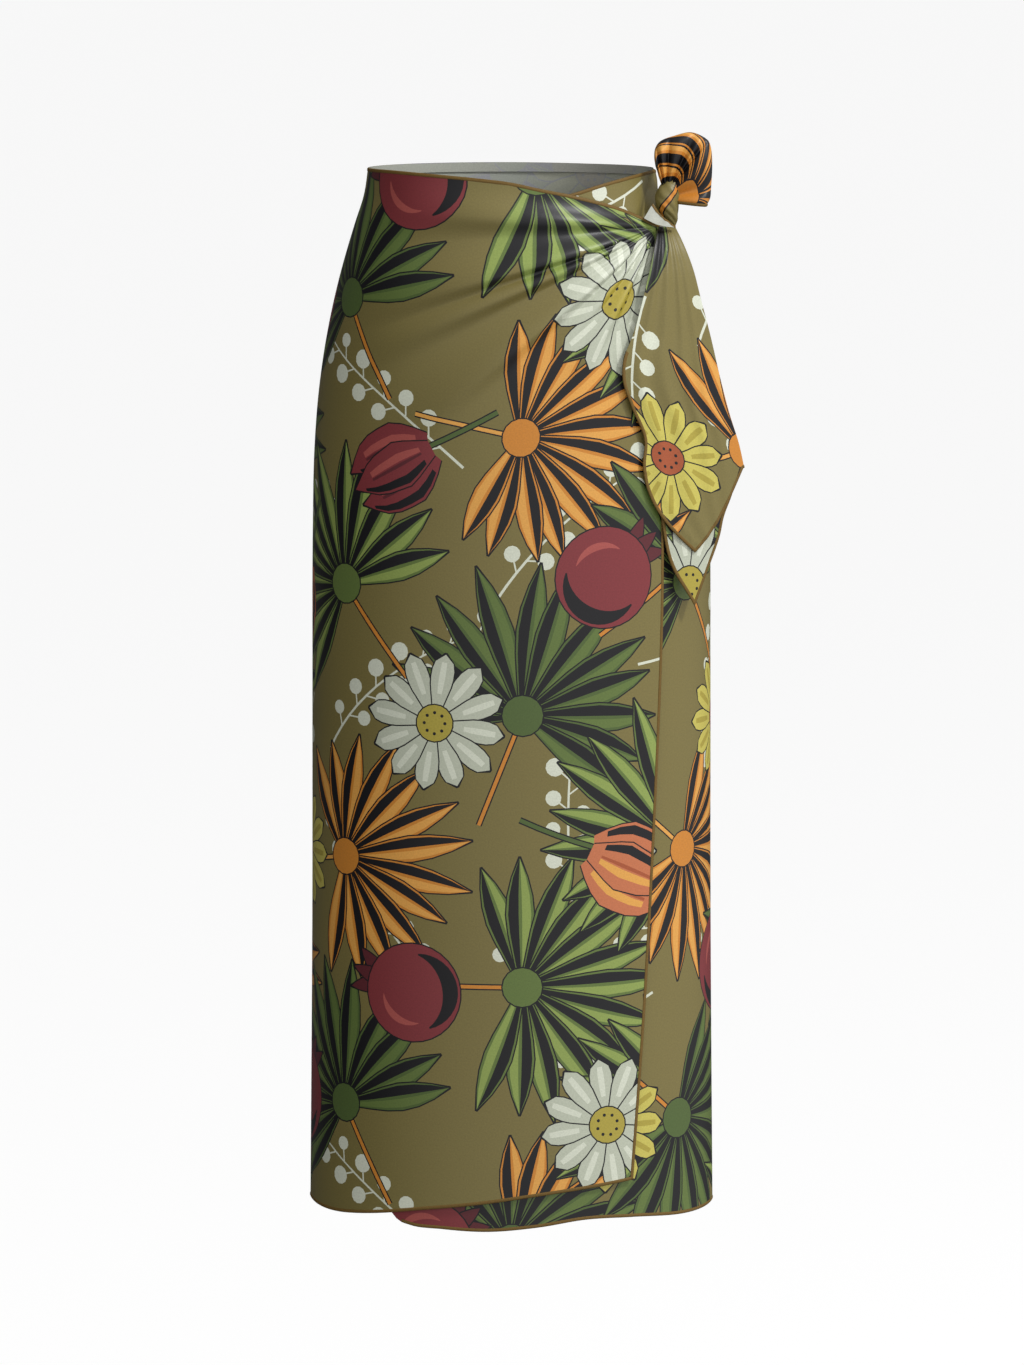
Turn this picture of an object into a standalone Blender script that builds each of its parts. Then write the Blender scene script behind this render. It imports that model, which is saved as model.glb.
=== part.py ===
"""Wrap skirt of printed satin in its worn, hollow form, tied in a knot at the wearer's left hip.

The skirt is a long straight tube of three cloth panels. The under front comes round from the right
side and lies against the body, the over front comes round from the left side and crosses over it, and
the back joins the two. The over front's top corner is gathered into the knot, and its folds fan out
from there. A bow loop stands up out of the knot and a folded tail hangs down from it.

Frame: +Z up, -Y the front, +X the viewer's right. The origin is the middle of the waist, where the
wearer holds the skirt up. Heights are given as the drop below the waist. Metres throughout.
"""

import math
from collections import namedtuple

import bmesh
import bpy
import numpy as np

WALL = 0.0012
OVER_WALL = 0.0014
SEAM_GAP = 0.0003

Section = namedtuple("Section", "drop half_width half_depth")
Edge = namedtuple("Edge", "bearing drop")
Fold = namedtuple("Fold", "direction length height width")
Along = namedtuple("Along", "drop x")
Hang = namedtuple("Hang", "drop forward")
Flap = namedtuple("Flap", "bearing upper_drop x y lower_drop")
Girth = namedtuple("Girth", "drop middle radius")
Rib = namedtuple("Rib", "root_x root_drop tip_x tip_drop")

# Level sections of the worn skirt. They are ellipses, from a 700 mm waist to a 946 mm hip and a
# 970 mm hem.
SECTIONS = [
    Section(-0.02, 0.1262, 0.0930),
    Section(0.00, 0.1278, 0.0940),
    Section(0.025, 0.1315, 0.0960),
    Section(0.05, 0.1395, 0.0998),
    Section(0.10, 0.1540, 0.1070),
    Section(0.15, 0.1650, 0.1135),
    Section(0.20, 0.1724, 0.1178),
    Section(0.25, 0.1764, 0.1197),
    Section(0.32, 0.1782, 0.1206),
    Section(0.45, 0.1791, 0.1212),
    Section(0.65, 0.1800, 0.1220),
    Section(0.96, 0.1832, 0.1242),
]

# Bearings go round the body in degrees: 0 is the right side seam, 90 the middle of the front, 180 the
# left side seam and 270 the middle of the back.
OVER_TOP = [
    Edge(24, 0.0505),
    Edge(29, 0.0480),
    Edge(35, 0.0415),
    Edge(43, 0.0345),
    Edge(55, 0.0270),
    Edge(67, 0.0205),
    Edge(79, 0.0150),
    Edge(90, 0.0095),
    Edge(102, 0.0062),
    Edge(119, 0.0032),
    Edge(139, 0.0010),
    Edge(180, 0.0010),
]
OVER_FREE_EDGE = [
    Edge(24, 0.0505),
    Edge(31, 0.09),
    Edge(37, 0.14),
    Edge(40.5, 0.20),
    Edge(42, 0.30),
    Edge(42.7, 0.40),
    Edge(45.5, 0.56),
    Edge(49.5, 0.736),
    Edge(54.3, 0.897),
]
OVER_HEM = [
    Edge(54.3, 0.8970),
    Edge(65, 0.9010),
    Edge(82, 0.9077),
    Edge(99, 0.9159),
    Edge(116, 0.9229),
    Edge(131, 0.9295),
    Edge(144, 0.9334),
    Edge(180, 0.9320),
]
UNDER_TOP = [
    Edge(0, 0.0028),
    Edge(15, 0.0024),
    Edge(28.6, 0.0043),
    Edge(39.5, 0.0071),
    Edge(53, 0.0124),
    Edge(65, 0.0190),
    Edge(90, 0.0310),
    Edge(127, 0.0400),
]
UNDER_HEM = [
    Edge(0, 0.9350),
    Edge(34, 0.9360),
    Edge(54, 0.9321),
    Edge(69, 0.9313),
    Edge(83, 0.9370),
    Edge(97, 0.9407),
    Edge(110, 0.9395),
    Edge(120, 0.9375),
    Edge(124, 0.9335),
    Edge(127, 0.9240),
]
BACK_TOP = [Edge(180, 0.0010), Edge(270, 0.0007), Edge(360, 0.0028)]
BACK_HEM_DROP = 0.9340
UNDER_FREE_BEARING = 127

# The over front lies clear of the under front. It leaves the side seam level with the back panel and
# is at its full lift by the time it meets the under front's free edge.
OVER_LIFT = 0.0024
OVER_FULL_LIFT_BEARING = 138
OVER_EDGE_EASE = 0.0022
OVER_EASE_FROM = 0.6
OVER_EASE_ROWS = (0.1, 0.5)
CORNER_LIFT = 0.0062
CORNER_REACH = 0.016

# Folds that fan out from where the over front enters the knot. The direction is how far the fold
# drops below level, in degrees, as it runs away from the knot.
GATHERS = [
    Fold(2, 0.150, 0.0034, 0.0085),
    Fold(15, 0.205, 0.0054, 0.0070),
    Fold(23, 0.245, 0.0060, 0.0075),
    Fold(31, 0.120, 0.0024, 0.0060),
    Fold(38.5, 0.220, 0.0058, 0.0080),
    Fold(49, 0.110, 0.0026, 0.0060),
    Fold(60, 0.150, 0.0044, 0.0075),
    Fold(71, 0.095, 0.0018, 0.0060),
]
GATHER_BEARING = 27
GATHER_DROP = 0.050
# A fold swells soon after it leaves the knot and dies out slowly, and it widens as it goes.
FOLD_SWELL = 2.6
FOLD_FADE = 1.5
FOLD_WIDTH_AT_KNOT = 0.55
FOLD_WIDENING = 1.3

# Softer folds that the knot's pull makes across the hidden back.
BACK_FOLDS = [
    Fold(7, 0.170, 0.0022, 0.0110),
    Fold(19, 0.210, 0.0030, 0.0120),
    Fold(34, 0.190, 0.0026, 0.0130),
    Fold(52, 0.150, 0.0022, 0.0130),
]
BACK_FOLD_BEARING = 0
BACK_FOLD_DROP = 0.030

# The back's top edge is turned in by this much.
TURNING_DEPTH = 0.0090
TURNING_WALL = 0.0010
TURNING_GAP = 0.0004

# How many lines of points each sheet has, and how strongly they crowd towards its top or its knot.
OVER_ROWS = (38, 1.7)
OVER_COLUMNS = (34, 1.45)
UNDER_ROWS = (20, 1.2)
UNDER_COLUMNS = 20
BACK_ROWS = (23, 1.3)
BACK_COLUMNS = 28
TURNING_ROWS = 3
TURNING_TOP = 0.0006

# The knot is a rounded bundle that stands on this upright line.
KNOT_Y = -0.0430
KNOT = [
    Girth(0.0074, 0.1376, 0.0030),
    Girth(0.0090, 0.1373, 0.0060),
    Girth(0.0130, 0.1365, 0.0090),
    Girth(0.0185, 0.1360, 0.0106),
    Girth(0.0250, 0.1360, 0.0111),
    Girth(0.0320, 0.1365, 0.0108),
    Girth(0.0390, 0.1376, 0.0097),
    Girth(0.0450, 0.1386, 0.0077),
    Girth(0.0492, 0.1390, 0.0042),
]
KNOT_SIDES = 20
KNOT_WRAP_HEIGHT = 0.0007
KNOT_WRAPS = 3
KNOT_WRAP_SLANT = 260
KNOT_ROWS = 15

# The collar is the turned end of the tie, which flares out from the knot's lower left and shows its
# wrong side. It leaves the knot at a bearing and a height, and ends at a free lower edge.
COLLAR_POINTS = (11, 7)
COLLAR_GAP = 0.0012
COLLAR_BULGE = 0.0012
COLLAR = [
    Flap(178, 0.0255, 0.1172, -0.0630, 0.0405),
    Flap(150, 0.0330, 0.1235, -0.0655, 0.0450),
    Flap(118, 0.0390, 0.1310, -0.0650, 0.0487),
    Flap(80, 0.0430, 0.1385, -0.0612, 0.0508),
    Flap(48, 0.0450, 0.1450, -0.0560, 0.0500),
]

# The bow loop's ribs, from its lower edge round to its left edge, each from the knot out to the bend.
LOOP_RIBS = [
    Rib(0.1480, 0.0321, 0.1741, 0.0321),
    Rib(0.1485, 0.0268, 0.1763, 0.0214),
    Rib(0.1487, 0.0214, 0.1761, 0.0080),
    Rib(0.1486, 0.0161, 0.1759, -0.0063),
    Rib(0.1474, 0.0118, 0.1732, -0.0179),
    Rib(0.1450, 0.0084, 0.1677, -0.0268),
    Rib(0.1406, 0.0058, 0.1576, -0.0317),
    Rib(0.1335, 0.0058, 0.1442, -0.0308),
    Rib(0.1280, 0.0080, 0.1326, -0.0259),
    Rib(0.1252, 0.0111, 0.1263, -0.0187),
]
LOOP_ROOT_HALF_DEPTH = 0.0022
LOOP_HALF_DEPTH = 0.0128
LOOP_PLEATS = 5
LOOP_PLEAT_HEIGHT = 0.0014
LOOP_POINTS = (22, 17)

# The tail is one corner of cloth folded lengthwise, so it has two layers. They share the fold on the
# right, and each has a free edge of its own on the left that ends in its point.
TAIL_FOLD = [
    Along(0.050, 0.1455),
    Along(0.057, 0.1492),
    Along(0.065, 0.1530),
    Along(0.085, 0.1610),
    Along(0.115, 0.1690),
    Along(0.145, 0.1770),
    Along(0.185, 0.1865),
    Along(0.215, 0.1945),
    Along(0.245, 0.2040),
    Along(0.265, 0.2085),
]
TAIL_FRONT_EDGE = [
    Along(0.050, 0.1330),
    Along(0.057, 0.1310),
    Along(0.065, 0.1285),
    Along(0.085, 0.1235),
    Along(0.115, 0.1150),
    Along(0.145, 0.1060),
    Along(0.162, 0.0990),
    Along(0.182, 0.0980),
    Along(0.205, 0.1054),
    Along(0.235, 0.1172),
    Along(0.258, 0.1160),
    Along(0.280, 0.1202),
    Along(0.305, 0.1332),
    Along(0.323, 0.1484),
    Along(0.3372, 0.1628),
]
TAIL_BACK_EDGE = [
    Along(0.050, 0.1335),
    Along(0.057, 0.1315),
    Along(0.065, 0.1295),
    Along(0.085, 0.1260),
    Along(0.120, 0.1210),
    Along(0.180, 0.1170),
    Along(0.240, 0.1230),
    Along(0.300, 0.1330),
    Along(0.350, 0.1440),
    Along(0.385, 0.1637),
]
TAIL_HANG = [
    Hang(0.050, -0.0680),
    Hang(0.057, -0.0752),
    Hang(0.065, -0.0812),
    Hang(0.085, -0.0900),
    Hang(0.115, -0.0965),
    Hang(0.145, -0.1008),
    Hang(0.165, -0.1038),
    Hang(0.185, -0.1052),
    Hang(0.215, -0.1056),
    Hang(0.390, -0.1056),
]
TAIL_LOWER_BOW = 0.008
TAIL_BOW_FROM_POINT = 4
TAIL_SIDE_SLOPE = 0.35
TAIL_SIDE_CURVE = 2.0
TAIL_SIDE_FROM = 0.10
TAIL_FOLD_GAP = 0.0048
TAIL_RIPPLES = 2
TAIL_RIPPLE_HEIGHT = 0.0030
TAIL_ROWS = (23, 1.35)
TAIL_COLUMNS = 10
TAIL_FOLD_POINTS = 5

PRINT_OLIVE = (0.176, 0.152, 0.063, 1)
PRINT_GREEN = (0.150, 0.230, 0.060, 1)
WRONG_SIDE = (0.420, 0.440, 0.370, 1)
SATIN_ROUGHNESS = 0.45
SHARP_EDGE_DEGREES = 50
TINY = 1e-12


def columns(table):
    """The table's columns as arrays."""
    return [np.array(column, float) for column in zip(*table)]


def smooth_between(at, known, values):
    """A smooth curve through a table's points, read at the given places."""
    slopes = np.gradient(values, known)
    i = np.clip(np.searchsorted(known, at) - 1, 0, len(known) - 2)
    step = known[i + 1] - known[i]
    t = np.clip((at - known[i]) / step, 0, 1)
    rise = 3 * t**2 - 2 * t**3
    leave = (t**3 - 2 * t**2 + t) * step * slopes[i]
    arrive = (t**3 - t**2) * step * slopes[i + 1]
    return values[i] + (values[i + 1] - values[i]) * rise + leave + arrive


def smooth_step(low, high, at):
    t = np.clip((at - low) / (high - low), 0, 1)
    return t * t * (3 - 2 * t)


def half_sizes(drop):
    known, widths, depths = columns(SECTIONS)
    return smooth_between(drop, known, widths), smooth_between(drop, known, depths)


def body_point(bearing, drop, out):
    """A point on the worn form at a bearing in degrees, moved outwards."""
    angle = np.radians(bearing)
    width, depth = half_sizes(drop)
    across, forward = np.cos(angle), -np.sin(angle)
    normal_x, normal_y = depth * across, width * forward
    share = out / np.hypot(normal_x, normal_y)
    x = width * across + normal_x * share
    y = depth * forward + normal_y * share
    return np.stack([x, y, -drop + 0 * x], axis=-1)


def arc_from_front(bearing, drop):
    """How far round the body a bearing lies from the middle of the front, positive to the right."""
    nodes, weights = np.polynomial.legendre.leggauss(10)
    width, depth = half_sizes(drop)
    turn = np.radians(bearing) - math.pi / 2
    angle = math.pi / 2 + turn[..., None] * (nodes + 1) / 2
    speed = np.hypot(
        width[..., None] * np.sin(angle), depth[..., None] * np.cos(angle)
    )
    return -(speed * weights).sum(-1) * turn / 2


def fan_of_folds(folds, away, down):
    """Height of the ridges that fan out from a gathered point, at distances away from it and below it."""
    distance = np.hypot(away, down)
    height = np.zeros_like(distance)
    for fold in folds:
        angle = math.radians(fold.direction)
        along = away * math.cos(angle) + down * math.sin(angle)
        across = down * math.cos(angle) - away * math.sin(angle)
        share = np.clip(along / fold.length, 0, 1)
        swell = FOLD_SWELL * np.sqrt(share) * (1 - share) ** FOLD_FADE
        width = fold.width * (FOLD_WIDTH_AT_KNOT + FOLD_WIDENING * share)
        ridge = fold.height * swell * np.exp(-((across / width) ** 2))
        height = np.maximum(height, ridge)
    return height


def gather_heights(bearing, drop):
    """The over front's folds, and how far its corner stands off to enter the knot."""
    corner = np.array([float(GATHER_BEARING)])
    middle = arc_from_front(corner, np.array([GATHER_DROP]))[0]
    away = middle - arc_from_front(bearing, drop)
    down = drop - GATHER_DROP
    near = np.exp(-(np.hypot(away, down) / CORNER_REACH) ** 2)
    return fan_of_folds(GATHERS, away, down) + CORNER_LIFT * near


def material(name, colour):
    made = bpy.data.materials.new(name)
    made.use_nodes = True
    surface = made.node_tree.nodes["Principled BSDF"]
    surface.inputs["Base Color"].default_value = colour
    surface.inputs["Roughness"].default_value = SATIN_ROUGHNESS
    surface.inputs["Metallic"].default_value = 0
    return made


def add_object(name, points, faces, look):
    mesh = bpy.data.meshes.new(name)
    mesh.from_pydata([tuple(p) for p in points], [], faces)
    work = bmesh.new()
    work.from_mesh(mesh)
    bmesh.ops.recalc_face_normals(work, faces=work.faces)
    work.to_mesh(mesh)
    work.free()
    mesh.shade_smooth()
    mesh.set_sharp_from_angle(angle=math.radians(SHARP_EDGE_DEGREES))
    mesh.materials.append(look)
    made = bpy.data.objects.new(name, mesh)
    bpy.context.scene.collection.objects.link(made)
    return made


def grid_normals(grid):
    """Unit normals of a grid of points, from its rows and columns."""
    normals = np.cross(np.gradient(grid, axis=0), np.gradient(grid, axis=1))
    return normals / np.maximum(np.linalg.norm(normals, axis=-1, keepdims=True), TINY)


def grid_backs(grid, side, thickness=WALL):
    """The far face of a wall, off a grid of points along its normals. side is +1 or -1."""
    return grid + grid_normals(grid) * side * thickness


def cloth_wall(name, grid, other, look):
    """A closed wall of cloth between two grids of points."""
    rows, across = grid.shape[:2]
    points = np.concatenate([grid.reshape(-1, 3), other.reshape(-1, 3)])
    count = rows * across
    faces = []
    for i in range(rows - 1):
        for j in range(across - 1):
            a = i * across + j
            for face in ((a, a + 1, a + across + 1), (a, a + across + 1, a + across)):
                faces.append(face)
                faces.append(tuple(p + count for p in reversed(face)))
    rim = [(0, j) for j in range(across)]
    rim += [(i, across - 1) for i in range(1, rows)]
    rim += [(rows - 1, j) for j in range(across - 2, -1, -1)]
    rim += [(i, 0) for i in range(rows - 2, 0, -1)]
    for (i0, j0), (i1, j1) in zip(rim, rim[1:] + rim[:1]):
        a, b = i0 * across + j0, i1 * across + j1
        faces.append((b, a, a + count, b + count))
    return add_object(name, points, faces, look)


def crowded(count, power):
    """Steps from 0 to 1 that lie closer together near 0."""
    return np.linspace(0, 1, count) ** power


def edge_drop(edge, bearing):
    bearings, drops = columns(edge)
    return smooth_between(bearing, bearings, drops)


def over_front(look):
    """The outer wrap, from the left side seam to its free edge, gathered at the top right."""
    rows = crowded(*OVER_ROWS)[:, None]
    across = 1 - crowded(*OVER_COLUMNS)[None, ::-1]
    seam = 180 - math.degrees(SEAM_GAP / 2 / SECTIONS[0].half_depth)
    free_bearings, free_drops = columns(OVER_FREE_EDGE)
    free_drop = free_drops[0] + (free_drops[-1] - free_drops[0]) * rows
    free = smooth_between(free_drop, free_drops, free_bearings)
    bearing = seam + (free - seam) * across
    top = edge_drop(OVER_TOP, seam + (OVER_TOP[0].bearing - seam) * across)
    hem = edge_drop(OVER_HEM, seam + (OVER_HEM[0].bearing - seam) * across)
    drop = top + (hem - top) * rows
    lift = OVER_LIFT * smooth_step(179, OVER_FULL_LIFT_BEARING, bearing)
    ease = OVER_EDGE_EASE * smooth_step(OVER_EASE_FROM, 1, across) * smooth_step(*OVER_EASE_ROWS, rows)
    out = lift + ease + gather_heights(bearing, drop)
    face = body_point(bearing, drop, out)
    return cloth_wall("over_front", face, body_point(bearing, drop, out - OVER_WALL), look)


def under_front(look):
    """The inner wrap, from the right side seam to its free edge, hidden but for its right-hand part."""
    rows = crowded(*UNDER_ROWS)[:, None]
    across = np.linspace(0, 1, UNDER_COLUMNS)[None, :]
    seam = math.degrees(SEAM_GAP / 2 / SECTIONS[0].half_depth)
    bearing = seam + (UNDER_FREE_BEARING - seam) * across + 0 * rows
    top = edge_drop(UNDER_TOP, bearing)
    hem = edge_drop(UNDER_HEM, bearing)
    drop = top + (hem - top) * rows
    face = body_point(bearing, drop, 0 * drop)
    return cloth_wall("under_front", face, body_point(bearing, drop, 0 * drop - WALL), look)


def back_grid(rows, across, out):
    """Points of the back panel, from the left side seam round to the right one."""
    seam = math.degrees(SEAM_GAP / 2 / SECTIONS[0].half_depth)
    bearing = 180 + seam + (180 - 2 * seam) * across + 0 * rows
    top = edge_drop(BACK_TOP, bearing)
    drop = top + (BACK_HEM_DROP - top) * rows
    corner = np.array([float(BACK_FOLD_BEARING)])
    side = arc_from_front(corner, np.array([BACK_FOLD_DROP]))[0]
    away = arc_from_front(bearing - 360, drop) - side
    folds = fan_of_folds(BACK_FOLDS, away, drop - BACK_FOLD_DROP)
    return body_point(bearing, drop, folds + out)


def back_panel(look):
    rows = crowded(*BACK_ROWS)[:, None]
    across = np.linspace(0, 1, BACK_COLUMNS)[None, :]
    return cloth_wall("back_panel", back_grid(rows, across, 0), back_grid(rows, across, -WALL), look)


def back_waist_turning(look):
    """The back's top edge turned to the inside, lying just clear of the panel's inner face."""
    rows = np.linspace(TURNING_TOP, TURNING_DEPTH / BACK_HEM_DROP, TURNING_ROWS)[:, None]
    across = np.linspace(0, 1, BACK_COLUMNS)[None, 1:-1]
    face = back_grid(rows, across, -WALL - TURNING_GAP)
    inside = back_grid(rows, across, -WALL - TURNING_GAP - TURNING_WALL)
    return cloth_wall("back_waist_turning", face, inside, look)


def knot_radius(drop, angle):
    """The knot's girth at a height, with the slanting ridges of the cloth that is wound round it."""
    drops, _, radii = columns(KNOT)
    ends = smooth_step(drops[0], drops[2], drop) * smooth_step(drops[-1], drops[-3], drop)
    slant = KNOT_WRAPS * angle + (drop - drops[0]) * KNOT_WRAP_SLANT
    return smooth_between(drop, drops, radii) + KNOT_WRAP_HEIGHT * ends * np.sin(slant)


def knot_point(drop, angle, out=0.0):
    """A point round the knot. Angle 0 points right and a quarter turn points to the front."""
    drops, middles, _ = columns(KNOT)
    radius = knot_radius(drop, angle) + out
    x = smooth_between(drop, drops, middles) + radius * np.cos(angle)
    y = KNOT_Y - radius * np.sin(angle)
    return np.stack([x, y, -drop + 0 * x], axis=-1)


def knot(look):
    """The tie's bundle, closed at both ends."""
    drops = np.linspace(KNOT[0].drop, KNOT[-1].drop, KNOT_ROWS)[:, None]
    angles = np.linspace(0, 2 * math.pi, KNOT_SIDES, endpoint=False)[None, :]
    rings = knot_point(drops + 0 * angles, angles + 0 * drops)
    points = rings.reshape(-1, 3)
    faces = []
    for i in range(len(drops) - 1):
        for j in range(KNOT_SIDES):
            a, b = i * KNOT_SIDES + j, i * KNOT_SIDES + (j + 1) % KNOT_SIDES
            faces.append((a, b, b + KNOT_SIDES, a + KNOT_SIDES))
    faces.append(tuple(range(KNOT_SIDES)))
    faces.append(tuple(range(len(points) - KNOT_SIDES, len(points)))[::-1])
    return add_object("knot", points, faces, look)


def knot_collar(look):
    """A flared flap that leaves the knot's front and stands out at its lower edge."""
    known = np.linspace(0, 1, len(COLLAR))
    along = np.linspace(0, 1, COLLAR_POINTS[0])
    flap = Flap(*(smooth_between(along, known, column) for column in columns(COLLAR)))
    upper = knot_point(flap.upper_drop, np.radians(flap.bearing), COLLAR_GAP)
    lower = np.stack([flap.x, flap.y, -flap.lower_drop], axis=-1)
    down = np.linspace(0, 1, COLLAR_POINTS[1])[:, None, None]
    grid = upper + (lower - upper) * down
    grid[..., 1:2] -= COLLAR_BULGE * np.sin(math.pi * down)
    return cloth_wall("knot_collar", grid, grid_backs(grid, 1), look)


def bow_loop(look):
    """A band that leaves the knot, turns over at its far end and comes back, pinched at its root."""
    known = np.linspace(0, 1, len(LOOP_RIBS))
    across = np.linspace(0, 1, LOOP_POINTS[0])[:, None]
    ribs = [smooth_between(across, known, column) for column in columns(LOOP_RIBS)]
    turn = np.linspace(0, math.pi, LOOP_POINTS[1])[None, :]
    reach = np.sin(turn)
    x = ribs[0] + (ribs[2] - ribs[0]) * reach
    drop = ribs[1] + (ribs[3] - ribs[1]) * reach
    pleat = np.cos(across * math.tau * LOOP_PLEATS) * np.sin(2 * turn)
    half_depth = LOOP_ROOT_HALF_DEPTH + LOOP_HALF_DEPTH * reach
    y = KNOT_Y - half_depth * np.cos(turn) - LOOP_PLEAT_HEIGHT * pleat
    grid = np.stack([x, y, -drop], axis=-1)
    return cloth_wall("bow_loop", grid, grid_backs(grid, 1), look)


def tail_layer(free_edge, share, bow, ripple, behind):
    """One line of a tail layer from its free edge to the fold, share 0 to 1 down from the knot."""
    edge_drops, edge_x = columns(free_edge)
    fold_drops, fold_x = columns(TAIL_FOLD)
    hang_drops, forward = columns(TAIL_HANG)
    edge = np.array([edge_drops[0] + (edge_drops[-1] - edge_drops[0]) * share])
    fold = np.array([fold_drops[0] + (fold_drops[-1] - fold_drops[0]) * share])
    across = np.linspace(0, 1, TAIL_COLUMNS)
    start = smooth_between(edge, edge_drops, edge_x)
    x = start + (smooth_between(fold, fold_drops, fold_x) - TAIL_FOLD_GAP / 2 - start) * across
    drop = edge + (fold - edge) * across + bow * np.sin(math.pi * across) * share**TAIL_BOW_FROM_POINT
    slope = TAIL_SIDE_SLOPE + 2 * TAIL_SIDE_CURVE * (x - TAIL_SIDE_FROM)
    y = smooth_between(drop, hang_drops, forward)
    y += TAIL_SIDE_SLOPE * (x - TAIL_SIDE_FROM) + TAIL_SIDE_CURVE * (x - TAIL_SIDE_FROM) ** 2
    wave = (1 - np.cos(across * math.tau * TAIL_RIPPLES)) / 2 * math.sin(math.pi * share)
    y += behind * np.hypot(1, slope) - ripple * wave * (1 - across)
    return np.stack([x, y, -drop], axis=-1)


def tail_face(inset):
    """Points of the folded tail from the front layer's free edge round the fold to the back layer's."""
    lines = []
    for share in crowded(*TAIL_ROWS):
        front = tail_layer(TAIL_FRONT_EDGE, share, TAIL_LOWER_BOW, TAIL_RIPPLE_HEIGHT, inset)
        back = tail_layer(TAIL_BACK_EDGE, share, 0, 0, TAIL_FOLD_GAP - inset)
        outward = (front[-1] - front[-2]) * (1, 1, 0)
        outward *= (TAIL_FOLD_GAP / 2 - inset) / np.linalg.norm(outward)
        turn = np.linspace(0, math.pi, TAIL_FOLD_POINTS)[1:-1, None]
        fold = (front[-1] + back[-1]) / 2 + (front[-1] - back[-1]) / 2 * np.cos(turn)
        fold += outward * np.sin(turn)
        lines.append(np.concatenate([front, fold, back[::-1]]))
    return np.array(lines)


def tail(look):
    """Two layers of cloth joined by a fold down the right edge."""
    return cloth_wall("tail", tail_face(0), tail_face(WALL), look)


def build_skirt():
    for old in list(bpy.data.objects):
        bpy.data.objects.remove(old)
    printed = material("printed_satin", PRINT_OLIVE)
    printed_green = material("printed_satin_tie", PRINT_GREEN)
    wrong_side = material("satin_wrong_side", WRONG_SIDE)
    over_front(printed)
    under_front(printed)
    back_panel(printed)
    back_waist_turning(wrong_side)
    knot(printed_green)
    knot_collar(wrong_side)
    bow_loop(printed_green)
    tail(printed_green)


build_skirt()
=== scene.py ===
import math

import bpy
import numpy as np
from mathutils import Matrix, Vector
from mathutils.bvhtree import BVHTree
from mathutils.geometry import delaunay_2d_cdt


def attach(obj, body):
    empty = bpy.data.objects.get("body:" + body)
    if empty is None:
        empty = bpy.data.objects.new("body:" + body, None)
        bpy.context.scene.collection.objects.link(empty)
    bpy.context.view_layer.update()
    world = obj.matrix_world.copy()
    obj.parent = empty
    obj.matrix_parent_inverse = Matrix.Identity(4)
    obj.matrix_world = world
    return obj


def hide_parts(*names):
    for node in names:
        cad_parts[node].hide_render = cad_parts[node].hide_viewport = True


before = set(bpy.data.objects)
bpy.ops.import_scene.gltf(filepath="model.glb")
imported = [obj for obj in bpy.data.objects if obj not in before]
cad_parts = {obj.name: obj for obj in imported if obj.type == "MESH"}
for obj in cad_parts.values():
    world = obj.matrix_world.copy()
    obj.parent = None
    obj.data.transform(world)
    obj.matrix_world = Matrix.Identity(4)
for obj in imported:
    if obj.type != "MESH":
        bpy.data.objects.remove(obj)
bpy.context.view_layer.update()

# The over front: the outer wrap of a satin skirt, one printed panel from the left side seam to its free
# edge, gathered into the tie at the top right. It is a thin shell on its solid's form, with the main
# creases that fan out from the knot. It is cut along every edge of its print, so the inks stay crisp.


def smooth_between(at, known, values):
    """A smooth curve through a table's points, read at the given places."""
    slopes = np.gradient(values, known)
    i = np.clip(np.searchsorted(known, at) - 1, 0, len(known) - 2)
    step = known[i + 1] - known[i]
    t = np.clip((at - known[i]) / step, 0, 1)
    rise = 3 * t**2 - 2 * t**3
    leave = (t**3 - 2 * t**2 + t) * step * slopes[i]
    arrive = (t**3 - t**2) * step * slopes[i + 1]
    return values[i] + (values[i + 1] - values[i]) * rise + leave + arrive


def smooth_step(low, high, at):
    """A soft rise from 0 at low to 1 at high."""
    t = np.clip((at - low) / (high - low), 0, 1)
    return t * t * (3 - 2 * t)


# Level sections of the worn form: drop below the waist, half its width and half its depth.
FORM = np.array([
    (-0.02, 0.1262, 0.0930), (0.00, 0.1278, 0.0940), (0.025, 0.1315, 0.0960), (0.05, 0.1395, 0.0998),
    (0.10, 0.1540, 0.1070), (0.15, 0.1650, 0.1135), (0.20, 0.1724, 0.1178), (0.25, 0.1764, 0.1197),
    (0.32, 0.1782, 0.1206), (0.45, 0.1791, 0.1212), (0.65, 0.1800, 0.1220), (0.96, 0.1832, 0.1242),
])


def half_sizes(drop):
    return smooth_between(drop, FORM[:, 0], FORM[:, 1]), smooth_between(drop, FORM[:, 0], FORM[:, 2])


def body_point(bearing, drop, out):
    """A point on the form at a bearing in degrees (0 right, 90 front), moved outwards."""
    angle = np.radians(bearing)
    width, depth = half_sizes(drop)
    across, forward = np.cos(angle), -np.sin(angle)
    normal_x, normal_y = depth * across, width * forward
    share = out / np.hypot(normal_x, normal_y)
    x = width * across + normal_x * share
    y = depth * forward + normal_y * share
    return np.stack([x, y, -drop + 0 * x], axis=-1)


def arc_from_front(bearing, drop):
    """How far round the form a bearing lies from the middle of the front, positive to the right."""
    nodes, weights = np.polynomial.legendre.leggauss(10)
    width, depth = half_sizes(drop)
    turn = np.radians(bearing) - math.pi / 2
    angle = math.pi / 2 + turn[..., None] * (nodes + 1) / 2
    speed = np.hypot(width[..., None] * np.sin(angle), depth[..., None] * np.cos(angle))
    return -(speed * weights).sum(-1) * turn / 2


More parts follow.
